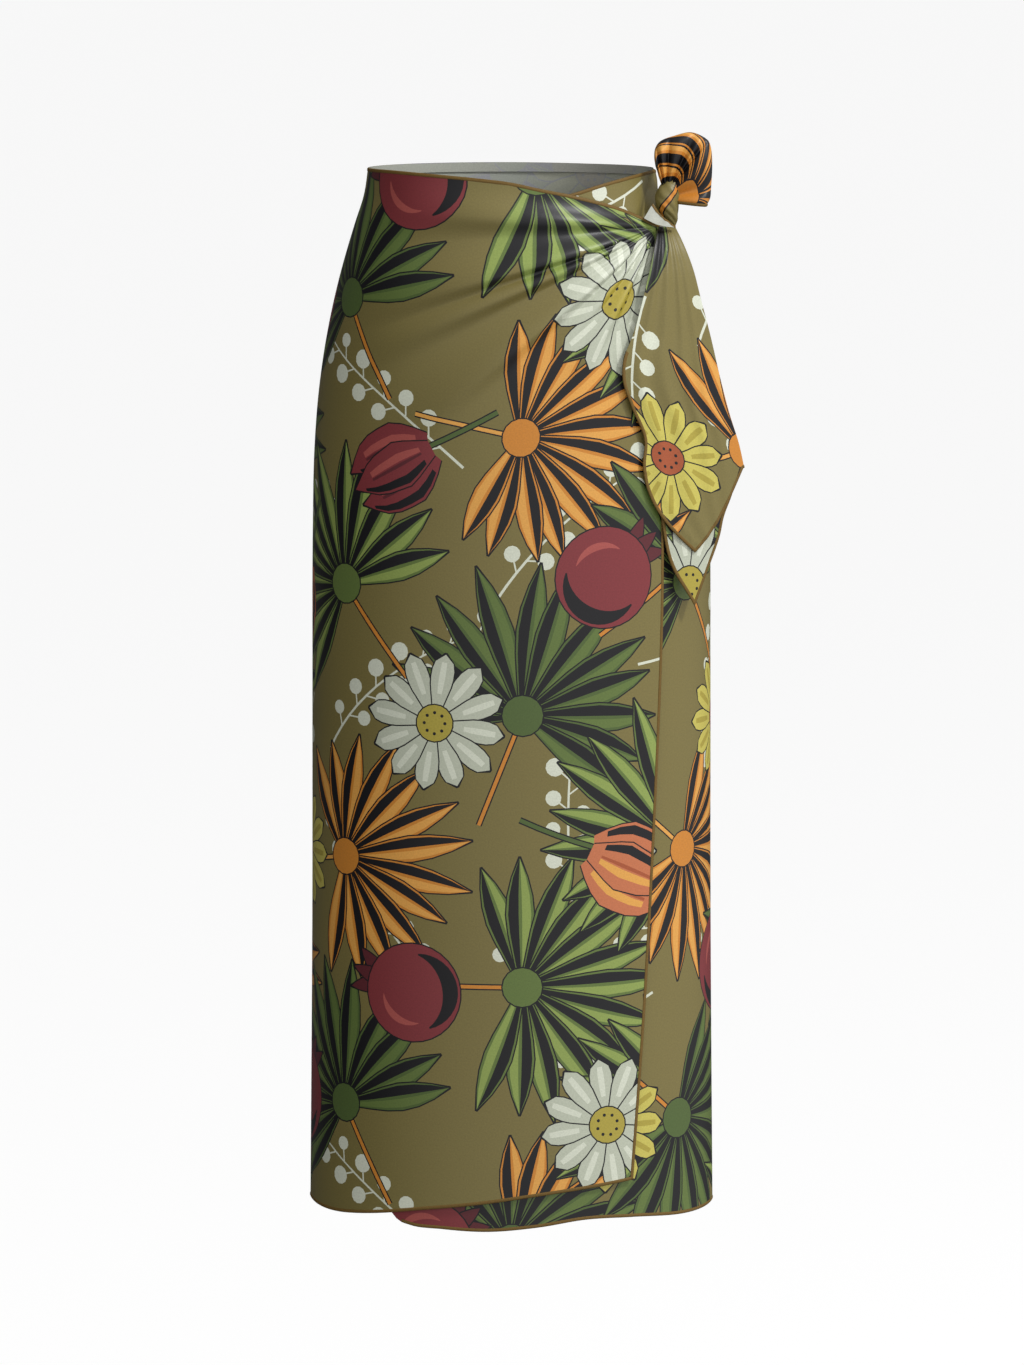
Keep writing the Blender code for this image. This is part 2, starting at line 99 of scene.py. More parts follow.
def bearing_at(arc, drop):
    """The bearing of a distance round the form from the middle of the front."""
    width, depth = half_sizes(drop)
    bearing = 90 - np.degrees(arc / (width + depth) * 2)
    for _ in range(6):
        angle = np.radians(bearing)
        speed = np.hypot(width * np.sin(angle), depth * np.cos(angle))
        bearing = bearing + np.degrees((arc_from_front(bearing, drop) - arc) / speed)
    return bearing


def fan_of_folds(folds, away, down):
    """Height of the creases that fan out from a gathered point, each steeper on its lower side."""
    reach = np.maximum(np.hypot(away, down), 0.001)
    direction = np.degrees(np.arctan2(down, away))
    total = np.zeros_like(reach)
    for start, bend, length, rise, above, below in folds:
        share = np.clip(reach / length, 0, 1)
        swell = (1 - (1 - np.minimum(share / 0.5, 1)) ** 2) * smooth_step(1, 0.5, share)
        aside = direction - start - bend * share
        width = np.where(aside > 0, below, above) + np.degrees(0.0010 / reach)
        total += (rise * swell * np.exp(-((aside / width) ** 2))) ** 4
    return total**0.25


def colour(text):
    """A linear colour from an sRGB one written in hex."""
    parts = np.array([int(text[i : i + 2], 16) / 255 for i in (1, 3, 5)])
    linear = np.where(parts <= 0.04045, parts / 12.92, ((parts + 0.055) / 1.055) ** 2.4)
    return (*linear.tolist(), 1.0)


# The print on all the pieces: a generic repeat of palm leaves, daisies, fruits, tulips and berries in flat
# inks with thin outlines. Each motif is a list of inked shapes, laid one over the other.
def curve(start, heading, length, bend, count):
    """A line of points that sets out at a heading in radians and turns evenly by bend."""
    share = np.linspace(0, 1, count)
    turn = heading + bend * (share[:-1] + share[1:]) / 2
    steps = np.stack([np.cos(turn), np.sin(turn)], axis=-1) * length / (count - 1)
    return np.concatenate([[start], np.asarray(start) + np.cumsum(steps, axis=0)])


def ribbon(path, left, right=None):
    """A closed shape that follows a line, with a width on each side of it."""
    right = left if right is None else right
    along = np.gradient(path, axis=0)
    aside = np.stack([-along[:, 1], along[:, 0]], axis=-1)
    aside /= np.linalg.norm(aside, axis=1)[:, None]
    one = path + aside * np.asarray(left)[:, None]
    other = path - aside * np.asarray(right)[:, None]
    shape = np.concatenate([one, other[::-1]])
    return shape[np.linalg.norm(shape - np.roll(shape, 1, axis=0), axis=1) > 1e-6]


def closer(shape, longest):
    """The same closed shape with points added along its long sides, so that it can follow the cloth."""
    sides = np.roll(shape, -1, axis=0) - shape
    parts = np.maximum(np.ceil(np.linalg.norm(sides, axis=1) / longest), 1).astype(int)
    return np.concatenate([
        start + side * np.arange(count)[:, None] / count
        for start, side, count in zip(shape, sides, parts)
    ])


LINE = 0.0012


def outlined(ink, path, left, right=None):
    """A filled shape along a line, over a black one that is a line's width larger all round."""
    right = left if right is None else right
    ahead = path[-1] - path[-2]
    grown = path.copy()
    grown[-1] += ahead / np.linalg.norm(ahead) * LINE * 1.4
    return [("black", ribbon(grown, left + LINE, right + LINE)), (ink, ribbon(path, left, right))]


def disc(radius, count, middle=(0, 0)):
    """A round shape."""
    turn = np.arange(count) * math.tau / count
    return np.asarray(middle) + radius * np.stack([np.cos(turn), np.sin(turn)], axis=-1)


def fan_leaf(rng, size, inks):
    """A round palm leaf of straight folded blades, each lit on one flank and dark on the other."""
    base, light, rib = inks
    body = np.interp(np.linspace(0, 1, 7), [0, 0.45, 0.75, 1], [0.022, 0.062, 0.050, 0]) * size
    shapes = outlined(rib, curve((-0.5 * size, 0), 0, 0.5 * size, 0, 5), np.full(5, 0.0016))
    for turn in np.linspace(-1.9, 1.9, 13):
        turn += rng.uniform(-0.04, 0.04)
        long = size * (0.60 - 0.06 * abs(turn)) * rng.uniform(0.92, 1.04)
        start = 0.07 * size * np.array([math.cos(turn), math.sin(turn)])
        blade = curve(start, turn, long, rng.uniform(-0.12, 0.12), 7)
        shapes += outlined(base, blade, body)
        shapes.append((light, ribbon(blade, 0.80 * body, -0.15 * body)))
        shapes.append(("black", ribbon(blade, -0.10 * body, 0.85 * body)))
    return shapes + [("black", disc(0.085 * size + LINE, 16)), (base, disc(0.085 * size, 16))]


def daisy(rng, size, inks):
    """A round flower of many even petals about a plain disc."""
    base, light, middle = inks
    body = np.interp(np.linspace(0, 1, 8), [0, 0.5, 0.8, 0.94, 1], [0.030, 0.080, 0.078, 0.045, 0]) * size
    shapes = []
    for turn in np.arange(12) * math.tau / 12 + rng.uniform(0, 1):
        start = 0.10 * size * np.array([math.cos(turn), math.sin(turn)])
        petal = curve(start, turn, size * 0.40 * rng.uniform(0.93, 1.04), 0, 8)
        shapes += outlined(base, petal, body)
        shapes.append((light, ribbon(petal[2:7], 0.28 * body[2:7])))
    shapes += [("black", disc(0.13 * size + LINE, 18)), (middle, disc(0.13 * size, 18))]
    return shapes + [("black", disc(0.0016, 6, spot)) for spot in disc(0.075 * size, 8)]


def fruit(rng, size, inks):
    """A round fruit with a toothed crown, dark along its lower side."""
    base, light, shade = inks
    shapes = []
    for lean in (-0.5, 0.5, 0.0):
        tooth = curve((0.40 * size, 0.16 * lean * size), lean, 0.22 * size, 0, 5)
        shapes += outlined(shade, tooth, np.array([0.055, 0.065, 0.05, 0.03, 0]) * size)
    shapes += [("black", disc(0.44 * size + LINE, 30)), (base, disc(0.44 * size, 30))]
    wide = np.sin(np.linspace(0.1, math.pi - 0.1, 17)) * size
    shapes.append(("black", ribbon(disc(0.35 * size, 40)[9:26], 0.070 * wide)))
    shapes.append((light, ribbon(disc(0.28 * size, 60)[40:57], 0.032 * wide)))
    return shapes


def tulip(rng, size, inks):
    """A closed cup of three petals on a stalk."""
    base, light, shade = inks
    body = np.interp(np.linspace(0, 1, 9), [0, 0.35, 0.7, 1], [0.05, 0.15, 0.12, 0]) * size
    stalk = curve((-0.45 * size, 0), 0, 0.47 * size, rng.uniform(-0.2, 0.2), 5)
    shapes = outlined("leaf", stalk, np.full(5, 0.0018))
    for side in (1, -1, 0):
        petal = curve((0.01 * size, 0.05 * side * size), 0.45 * side, 0.60 * size, -0.7 * side, 9)
        shapes += outlined(base, petal, body)
        shapes.append((light, ribbon(petal[1:7], 0.50 * body[1:7], -0.15 * body[1:7])))
        shapes.append((shade, ribbon(petal[1:7], 0.08 * body[1:7])))
        shapes.append(("black", ribbon(petal[1:8], -0.50 * body[1:8], 0.88 * body[1:8])))
    return shapes


def berries(rng, size, inks):
    """A thin pale stalk with round berries to either side."""
    stem = curve((-0.5 * size, 0), 0, size, rng.uniform(-0.8, 0.8), 15)
    along = np.arctan2(*np.gradient(stem, axis=0).T[::-1])
    shapes = [(inks[0], ribbon(stem, np.linspace(0.0012, 0.0007, 15)))]
    for j in range(2, 15):
        twig = curve(stem[j], along[j] + (0.9 if j % 2 else -0.9), 0.017, 0, 3)
        shapes.append((inks[0], ribbon(twig, np.full(3, 0.0007))))
        shapes.append((inks[0], disc(rng.uniform(0.0060, 0.0085), 12, twig[-1])))
    return shapes


GREEN = ("green", "lime", "orange")
DEEP = ("leaf", "green", "orange")
ORANGE = ("orange", "amber", "amber")
WHITE = ("white", "pale", "gold")
YELLOW = ("yellow", "gold", "rust")
WINE = ("wine", "rose", "plum")
CORAL = ("coral", "amber", "rust")
PALE = ("pale",)
REPEAT = (0.64, 0.72)
STEP = (0.16, 0.24)
ROWS, PLACES = 3, 12
JITTER = 0.012
FINEST_SIDE = 0.006
# Each layer: how far it is moved, and the motifs that take turns in it, with their sizes and inks.
LAYERS = [
    ((0.045, 0.065), [(berries, 0.19, PALE)]),
    ((0.0, 0.0), [
        (fan_leaf, 0.205, GREEN), (fan_leaf, 0.190, ORANGE), (fan_leaf, 0.210, DEEP),
        (fan_leaf, 0.200, GREEN), (fan_leaf, 0.200, DEEP),
    ]),
    ((0.080, 0.120), [
        (daisy, 0.125, WHITE), (fruit, 0.100, WINE), (tulip, 0.150, CORAL), (daisy, 0.115, YELLOW),
        (tulip, 0.140, WINE),
    ]),
]


def print_shapes():
    """One repeat of the print, grouped by motif. Every other column starts half a step lower."""
    rng = np.random.default_rng(31)
    groups = []
    for moved, motifs in LAYERS:
        for number in range(PLACES):
            column, row = divmod(number, ROWS)
            motif, size, inks = motifs[number % len(motifs)]
            place = np.array([column, row + 0.5 * (column % 2)]) * STEP + moved
            place = place + rng.uniform(-JITTER, JITTER, 2)
            turn = rng.uniform(0, math.tau)
            spin = np.array([[math.cos(turn), math.sin(turn)], [-math.sin(turn), math.cos(turn)]])
            groups.append([
                (ink, closer(shape, FINEST_SIDE) @ spin + place) for ink, shape in motif(rng, size, inks)
            ])
    return groups


INKS = {
    "ground": "#786D3D",
    "black": "#111014",
    "green": "#5F7238",
    "leaf": "#4E6130",
    "lime": "#8A9C50",
    "orange": "#C8812F",
    "amber": "#DDA04C",
    "white": "#B9BEAB",
    "pale": "#D2D6C4",
    "yellow": "#C3B858",
    "gold": "#A99A3E",
    "rust": "#A3522F",
    "wine": "#7E3135",
    "rose": "#A5504A",
    "plum": "#5A2228",
    "coral": "#C0704A",
}
RIGHT_SIDE = {name: colour(text) for name, text in INKS.items()}
# The inks show through the wrong side as a faint cast, and the dark lines as a bluish grey.
WRONG_GROUND, WRONG_LINE = np.array(colour("#B2B5AC")), np.array(colour("#A6A7AB"))
WRONG_SIDE = {
    name: tuple(WRONG_LINE if name == "black" else 0.9 * WRONG_GROUND + 0.1 * np.array(right))
    for name, right in RIGHT_SIDE.items()
}


def add_nodes(tree, kind, settings=(), links=()):
    """One node with its settings, and links from other nodes' outputs to its inputs."""
    node = tree.nodes.new(kind)
    for key, value in dict(settings).items():
        if isinstance(key, int) or key in node.inputs:
            node.inputs[key].default_value = value
        else:
            setattr(node, key, value)
    for key, (source, output) in dict(links).items():
        tree.links.new(source.outputs[output], node.inputs[key])
    return node


def cloth_finish(name, roughness):
    """Printed satin: its ink comes with the cloth, over a fine grain that follows the cloth's own length."""
    finish = bpy.data.materials.new(name)
    finish.use_nodes = True
    tree = finish.node_tree
    tree.nodes.clear()
    ink = add_nodes(tree, "ShaderNodeAttribute", {"attribute_name": "ink"})
    lie = add_nodes(tree, "ShaderNodeUVMap", {"uv_map": "cloth"})
    # Satin threads are 0.1 mm, finer than can be drawn; this grain stands for groups of them.
    grain = add_nodes(
        tree, "ShaderNodeTexNoise", {"Scale": 620, "Detail": 3, "Roughness": 0.7}, {"Vector": (lie, "UV")}
    )
    shade = add_nodes(
        tree, "ShaderNodeMapRange", {"From Min": 0.3, "From Max": 0.7, "To Min": 0.90, "To Max": 1.10},
        {"Value": (grain, "Fac")},
    )
    mixed = add_nodes(
        tree, "ShaderNodeVectorMath", {"operation": "SCALE"},
        {"Vector": (ink, "Color"), "Scale": (shade, "Result")},
    )
    rise = add_nodes(
        tree, "ShaderNodeBump", {"Strength": 0.25, "Distance": 0.0003}, {"Height": (grain, "Fac")}
    )
    satin = add_nodes(
        tree, "ShaderNodeBsdfPrincipled",
        {"Roughness": roughness, "IOR": 1.5, "Specular IOR Level": 0.4},
        {"Base Color": (mixed, "Vector"), "Normal": (rise, "Normal")},
    )
    add_nodes(tree, "ShaderNodeOutputMaterial", links={"Surface": (satin, "BSDF")})
    return finish


# The face of polyester satin: smooth, with a soft broad shine. The wrong side is flat and dry.
printed_satin = cloth_finish("printed satin", 0.40)
satin_back = cloth_finish("satin wrong side", 0.62)


def anticlockwise(shape):
    """The same shape, anticlockwise round its leftmost point, which comes last."""
    leftmost = int(np.lexsort((shape[:, 1], shape[:, 0]))[0])
    shape = np.roll(shape, -1 - leftmost, axis=0)
    come, leave = shape[-1] - shape[-2], shape[0] - shape[-1]
    return shape if come[0] * leave[1] > come[1] * leave[0] else np.roll(shape[::-1], -1, axis=0)


def covered(grid, close, spacing):
    """Which points of the grid lie in a cell that closer points fill already."""
    cells = {tuple(cell) for cell in np.round(close / spacing).astype(int)}
    return np.array([tuple(cell) in cells for cell in np.round(grid / spacing).astype(int)])


def border_lines(triangles, inks, count):
    """The triangles' edges where the ink changes, and those round the cloth."""
    sides = np.concatenate([triangles[:, [0, 1]], triangles[:, [1, 2]], triangles[:, [2, 0]]])
    sides = np.sort(sides, axis=1)
    keys = sides[:, 0] * count + sides[:, 1]
    order = np.argsort(keys, kind="stable")
    keys, inks = keys[order], np.tile(inks, 3)[order]
    paired = keys[1:] == keys[:-1]
    alone = ~(np.append(paired, False) | np.append(False, paired))
    changed = np.append(paired & (inks[1:] != inks[:-1]), False)
    return [np.stack([key // count, key % count], axis=-1) for key in (keys[changed], keys[alone])]


SLACK = 0.00005


def without_spare_points(flat, lines, fixed, longest):
    """The same lines without the points that lie close to a straight run, unless it gets too long."""
    place, beside = flat.tolist(), {}
    for a, b in lines.tolist():
        beside.setdefault(a, set()).add(b)
        beside.setdefault(b, set()).add(a)
    for point in [point for point in beside if point not in fixed]:
        if len(beside[point]) != 2:
            continue
        a, b = beside[point]
        run_x, run_y = place[b][0] - place[a][0], place[b][1] - place[a][1]
        off = run_x * (place[point][1] - place[a][1]) - run_y * (place[point][0] - place[a][0])
        run = math.hypot(run_x, run_y)
        if b in beside[a] or run > longest or abs(off) > SLACK * run:
            continue
        del beside[point]
        beside[a] ^= {point, b}
        beside[b] ^= {point, a}
    used = list(beside)
    number = {point: n for n, point in enumerate(used)}
    return flat[used], [(number[a], number[b]) for a in used for b in beside[a] if a < b]


def cut_along_print(outline, shapes, spacing, lines=None):
    """Flat triangles of a cloth piece that follow every edge of its print, and the ink of each.

    They also follow the lines, which are rows of points along the cloth's creases.
    """
    lowest, highest = outline.min(0), outline.max(0)
    points, faces, inks = [*anticlockwise(outline)], [list(range(len(outline)))], ["ground"]
    for ink, shape in shapes:
        if (shape.max(0) < lowest).any() or (shape.min(0) > highest).any():
            continue
        shape = closer(anticlockwise(shape), 1.5 * spacing)
        faces.append(list(range(len(points), len(points) + len(shape))))
        points.extend(shape)
        inks.append(ink)
    points = [Vector(point) for point in points]
    flat, _, triangles, _, _, owners = delaunay_2d_cdt(points, [], faces, 0, 1e-7, True)
    flat = np.array(flat)
    inner = [n for n, owner in enumerate(owners) if 0 in owner]
    triangles = np.array(triangles)[inner]
    ink_of = np.array([list(INKS).index(inks[max(owners[n])]) for n in inner])
    whole_print = BVHTree.FromPolygons([(*place, 0) for place in flat.tolist()], triangles.tolist())
    changes, rim = border_lines(triangles, ink_of, len(flat))
    fixed = set(rim.ravel().tolist())
    places, edges = without_spare_points(flat, np.concatenate([changes, rim]), fixed, 2 * spacing)
    across, down = np.meshgrid(
        np.arange(lowest[0], highest[0], spacing), np.arange(lowest[1], highest[1], spacing)
    )
    across[1::2] += spacing / 2
    grid = np.stack([across.ravel(), down.ravel()], axis=-1)
    if lines is not None:
        numbers = len(places) + np.arange(lines.size // 2).reshape(lines.shape[:2])
        edges += np.stack([numbers[:, :-1], numbers[:, 1:]], -1).reshape(-1, 2).tolist()
        grid = grid[~covered(grid, lines.reshape(-1, 2), spacing)]
        places = np.concatenate([places, lines.reshape(-1, 2)])
    places = [Vector(place) for place in np.concatenate([places, grid])]
    flat, _, triangles, _, _, _ = delaunay_2d_cdt(places, edges, [], 0, 1e-7, False)
    flat, triangles = np.array(flat), np.array(triangles)
    middles = flat[triangles].mean(1).tolist()
    under = [whole_print.ray_cast((x, y, 1), (0, 0, -1))[2] for x, y in middles]
    inner = [n for n, hit in enumerate(under) if hit is not None]
    used, corners = np.unique(triangles[inner], return_inverse=True)
    inks = [list(INKS)[ink_of[under[n]]] for n in inner]
    return flat[used], corners.reshape(-1, 3), inks


def close_shell(name, flat, corners, inks, to_space, thickness):
    """Lays flat triangles on their form, backs them with the wrong side and closes the edges."""
    u, v = flat.T
    count, tiny = len(flat), 0.0004
    outer, inner = to_space(u, v, 0), to_space(u, v, -thickness)
    slope_u = to_space(u + tiny, v, 0) - to_space(u - tiny, v, 0)
    slope_v = to_space(u, v + tiny, 0) - to_space(u, v - tiny, 0)
    normals = np.cross(slope_u, slope_v)
    normals /= np.maximum(np.linalg.norm(normals, axis=1), 1e-12)[:, None]
    if ((outer - inner) * normals).sum() < 0:
        normals, corners = -normals, corners[:, ::-1]
    sides = np.concatenate([corners[:, [0, 1]], corners[:, [1, 2]], corners[:, [2, 0]]])
    _, first, times = np.unique(np.sort(sides, axis=1), axis=0, return_index=True, return_counts=True)
    rim = sides[first[times == 1]]
    a, b = rim.T
    edge = np.concatenate([np.stack([b, a, a + count], 1), np.stack([b, a + count, b + count], 1)])
    faces = np.concatenate([corners, corners[:, ::-1] + count, edge])
    points = np.concatenate([outer, inner])
    mesh = bpy.data.meshes.new(name)
    mesh.from_pydata(points.tolist(), [], faces.tolist())
    mesh.materials.append(printed_satin)
    mesh.materials.append(satin_back)
    back = np.zeros(len(faces), dtype=np.int32)
    back[len(corners) : 2 * len(corners)] = 1
    mesh.polygons.foreach_set("material_index", back)
    mesh.polygons.foreach_set("use_smooth", np.ones(len(faces), dtype=bool))
    right = np.array([RIGHT_SIDE[ink] for ink in inks])
    wrong = np.array([WRONG_SIDE[ink] for ink in inks])
    rim_ink = np.tile(RIGHT_SIDE["ground"], (len(edge), 1))
    face_ink = np.concatenate([right, wrong, rim_ink])
    layer = mesh.color_attributes.new("ink", "FLOAT_COLOR", "CORNER")
    layer.data.foreach_set("color", np.repeat(face_ink, 3, axis=0).astype(np.float32).ravel())
    spread = np.concatenate([flat, flat])[faces.ravel()]
    mesh.uv_layers.new(name="cloth").data.foreach_set("uv", spread.astype(np.float32).ravel())
    low, size = flat.min(0), np.ptp(flat, axis=0)
    beside = np.repeat(back, 3)[:, None] * (size[0] * 1.03, 0)
    packed = (spread - low + beside) / max(2.03 * size[0], size[1]) * 0.98 + 0.01
    mesh.uv_layers.new(name="OFBake").data.foreach_set("uv", packed.astype(np.float32).ravel())
    across = np.cross(points[edge[:, 1]] - points[edge[:, 0]], points[edge[:, 2]] - points[edge[:, 0]])
    across /= np.maximum(np.linalg.norm(across, axis=1), 1e-12)[:, None]
    outward, backward = normals[corners.ravel()], -normals[corners[:, ::-1].ravel()]
    lit = np.concatenate([outward, backward, np.repeat(across, 3, 0)])
    mesh.normals_split_custom_set(lit.tolist())
    piece = bpy.data.objects.new(name, mesh)
    bpy.context.scene.collection.objects.link(piece)
    return piece


def surface_area(points, corners):
    """The area of triangles, each a row of three corners."""
    a, b, c = points[corners].transpose(1, 0, 2)
    return float(np.linalg.norm(np.cross(b - a, c - a), axis=1).sum() / 2)


ONE_PRINT = print_shapes()
FARTHEST_REACH = 0.12


def print_over(lowest, highest, offset, gather=None):
    """The printed cloth's shapes over a cut piece, which starts at an offset in the repeat."""
    shapes = []
    low = np.floor((lowest + offset - FARTHEST_REACH) / REPEAT).astype(int)
    high = np.ceil((highest + offset + FARTHEST_REACH) / REPEAT).astype(int)
    for group in ONE_PRINT:
        for m in range(low[0], high[0] + 1):
            for n in range(low[1], high[1] + 1):
                shift = np.array(REPEAT) * (m, n) - offset
                for ink, shape in group:
                    moved = shape + shift
                    shapes.append((ink, moved if gather is None else gather(moved)))
    return shapes


def along_edge(known, start, end, count, to_flat):
    """Points of an edge whose course is given by a table, as flat points of the cloth."""
    places = np.linspace(start, end, count)
    return to_flat(places, smooth_between(places, known[:, 0], known[:, 1]))


OVER_TOP = np.array([
    (24, 0.0505), (29, 0.0480), (35, 0.0415), (43, 0.0345), (55, 0.0270), (67, 0.0205), (79, 0.0150),
    (90, 0.0095), (102, 0.0062), (119, 0.0032), (139, 0.0010), (180, 0.0010),
])
OVER_FREE_EDGE = np.array([
    (0.0505, 24), (0.09, 31), (0.14, 37), (0.20, 40.5), (0.30, 42), (0.40, 42.7), (0.56, 45.5),
    (0.736, 49.5), (0.897, 54.3),
])
OVER_HEM = np.array([
    (54.3, 0.8970), (65, 0.9010), (82, 0.9077), (99, 0.9159), (116, 0.9229), (131, 0.9295),
    (144, 0.9334), (180, 0.9320),
])
CORNER = (0.1366, 0.050)
GATHERED_REACH = 0.055
# Creases that fan out from the knot: direction below level and how far it bends, length, height, and
# width above and below. Directions and widths are in degrees.
GATHERS = [
    (-4, 0, 0.280, 0.0074, 6.0, 4.0), (14, 2, 0.300, 0.0116, 7.0, 2.8),
    (20.5, 3, 0.320, 0.0098, 3.6, 2.5), (29, 0, 0.150, 0.0044, 3.0, 2.4),
    (36, 3, 0.320, 0.0108, 7.0, 2.6), (47, 0, 0.160, 0.0050, 4.0, 2.6),
    (58, 0, 0.180, 0.0062, 5.0, 2.8), (66, 0, 0.110, 0.0036, 2.6, 2.2),
    (77, 0, 0.170, 0.0048, 4.0, 3.0),
]


def gathered(shape):
    """The print is drawn in towards the knot with the cloth."""
    away = shape - CORNER
    reach = np.linalg.norm(away, axis=1)[:, None]
    return CORNER + away * (1 - np.exp(-reach / GATHERED_REACH))


def on_form(bearing, drop):
    """A flat point of the cloth for a bearing and a drop on the form."""
    bearing, drop = np.broadcast_arrays(bearing, drop)
    return np.stack([arc_from_front(bearing, drop), drop], axis=-1)


def over_front_point(arc, drop, out):
    """It lies over the under front, eased out towards its free edge and creased round the knot."""
    bearing = bearing_at(arc, drop)
    free = smooth_between(drop, OVER_FREE_EDGE[:, 0], OVER_FREE_EDGE[:, 1])
    across = (180 - bearing) / (180 - free)
    lift = 0.0024 * smooth_step(179, 138, bearing)
    ease = 0.0022 * smooth_step(0.6, 1, across) * smooth_step(0.05, 0.4, drop)
    away, down = CORNER[0] - arc, drop - CORNER[1]
    near = 0.0062 * np.exp(-((np.hypot(away, down) / 0.016) ** 2))
    return body_point(bearing, drop, out + lift + ease + fan_of_folds(GATHERS, away, down) + near)


over_outline = np.concatenate([
    along_edge(OVER_TOP, 180, 24, 90, on_form),
    along_edge(OVER_FREE_EDGE, 0.0505, 0.897, 200, lambda drop, bearing: on_form(bearing, drop))[1:],
    along_edge(OVER_HEM, 54.3, 180, 90, on_form)[1:],
    on_form(180.0, np.linspace(0.932, 0.001, 180))[1:-1],
])
over_shapes = print_over(over_outline.min(0), over_outline.max(0), np.array([0.0, 0.0]), gathered)
rays, away = np.meshgrid(
    np.radians(np.arange(-9, 96, 0.8)), 0.004 + 0.33 * np.linspace(0, 1, 34) ** 1.3, indexing="ij"
)
rays = CORNER + np.stack([-np.cos(rays) * away, np.sin(rays) * away], axis=-1)
flat, corners, inks = cut_along_print(over_outline, over_shapes, 0.010, rays)
over_front = close_shell("over_front_cloth", flat, corners, inks, over_front_point, 0.0005)
over_area = surface_area(over_front_point(*flat.T, 0), corners)
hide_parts("over_front")
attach(over_front, "root")

# The under front: the inner wrap, from the right side seam to its free edge, hidden behind the over
# front but for its right-hand part. Same satin, same print, cut at another place of the repeat.
UNDER_TOP = np.array([
    (0, 0.0028), (15, 0.0024), (28.6, 0.0043), (39.5, 0.0071), (53, 0.0124), (65, 0.0190),
    (90, 0.0310), (127, 0.0400),
])
UNDER_HEM = np.array([
    (0, 0.9350), (34, 0.9360), (54, 0.9321), (69, 0.9313), (83, 0.9370), (97, 0.9407),
    (110, 0.9395), (120, 0.9375), (124, 0.9335), (127, 0.9240),
])


def under_front_point(arc, drop, out):
    """It sinks into a deep crease where it goes in behind the knot."""
    bearing = bearing_at(arc, drop)
    aside = (bearing - np.interp(drop, [0, 0.045], [9, 31])) / 3.4
    fade = smooth_step(0.075, 0.045, drop) * smooth_step(0.002, 0.012, drop)
    sunk = 0.0050 * np.exp(-(aside**2)) - 0.0012 * np.exp(-((aside + 2.6) ** 2))
    return body_point(bearing, drop, out - sunk * fade)


under_outline = np.concatenate([
    along_edge(UNDER_TOP, 127, 0, 80, on_form),
    on_form(0.0, np.linspace(0.0028, 0.935, 180))[1:],
    along_edge(UNDER_HEM, 0, 127, 90, on_form)[1:],
    on_form(127.0, np.linspace(0.924, 0.04, 170))[1:-1],
])
under_shapes = print_over(under_outline.min(0), under_outline.max(0), np.array([0.16, 0.12]))
flat, corners, inks = cut_along_print(under_outline, under_shapes, 0.009)
under_front = close_shell("under_front_cloth", flat, corners, inks, under_front_point, 0.0005)
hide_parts("under_front")
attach(under_front, "root")
surface_area(under_front_point(*flat.T, 0), corners)

# The back panel: one piece from side seam to side seam, which the tie pulls into softer folds at the
# right side. Its arcs are measured from the middle of the back.
BACK_FOLDS = [
    (5, 0, 0.180, 0.0028, 5.0, 3.5), (17, 2, 0.230, 0.0040, 6.0, 3.5), (31, 2, 0.210, 0.0036, 6.0, 3.5),
    (50, 0, 0.170, 0.0030, 6.0, 4.0),
]
BACK_CORNER = 0.030
side_arc = float(arc_from_front(np.array([0.0]), np.array([BACK_CORNER]))[0])


def back_point(arc, drop, out):
    """Its arcs run on from the middle of the back, where the bearing is 270 degrees."""
    bearing = 180 + bearing_at(arc, drop)
    away = arc_from_front(bearing - 360, drop) - side_arc
    folds = fan_of_folds(BACK_FOLDS, away, drop - BACK_CORNER)
    return body_point(bearing, drop, folds + out)


BACK_TOP = np.array([(0, 0.0010), (90, 0.0007), (180, 0.0028)])
back_outline = np.concatenate([
    along_edge(BACK_TOP, 0, 180, 90, on_form),
    on_form(180.0, np.linspace(0.0028, 0.934, 180))[1:],
    on_form(np.linspace(180, 0, 120), 0.934)[1:],
    on_form(0.0, np.linspace(0.934, 0.001, 180))[1:-1],
])
back_shapes = print_over(back_outline.min(0), back_outline.max(0), np.array([0.32, 0.24]))
flat, corners, inks = cut_along_print(back_outline, back_shapes, 0.009)
back_panel = close_shell("back_panel_cloth", flat, corners, inks, back_point, 0.0005)
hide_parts("back_panel")
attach(back_panel, "root")
surface_area(back_point(*flat.T, 0), corners)

# The tail: the two cloth ends that hang from the knot. The front end has its right edge folded back over
# the edge of the one behind. Both show their printed side, and their pointed lower edges are overlocked.
TAIL_FOLD = np.array([
    (0.050, 0.1455), (0.057, 0.1492), (0.065, 0.1530), (0.085, 0.1610), (0.115, 0.1690),
    (0.145, 0.1770), (0.185, 0.1865), (0.215, 0.1945), (0.245, 0.2040), (0.265, 0.2085),
])
TAIL_FRONT_EDGE = np.array([
    (0.050, 0.1300), (0.057, 0.1285), (0.065, 0.1268), (0.085, 0.1222), (0.115, 0.1148),
    (0.145, 0.1060), (0.162, 0.0990), (0.182, 0.0980), (0.205, 0.1054), (0.235, 0.1172),
    (0.258, 0.1160), (0.280, 0.1202), (0.305, 0.1332), (0.323, 0.1484), (0.3372, 0.1628),
])
TAIL_BACK_EDGE = np.array([
    (0.050, 0.1335), (0.057, 0.1315), (0.065, 0.1295), (0.085, 0.1260), (0.120, 0.1210),
    (0.180, 0.1170), (0.240, 0.1230), (0.300, 0.1330), (0.350, 0.1440), (0.385, 0.1637),
])
TAIL_HANG = np.array([
    (0.050, -0.0680), (0.057, -0.0752), (0.065, -0.0812), (0.085, -0.0900), (0.115, -0.0965),
    (0.145, -0.1008), (0.165, -0.1038), (0.185, -0.1052), (0.215, -0.1056), (0.390, -0.1056),
])
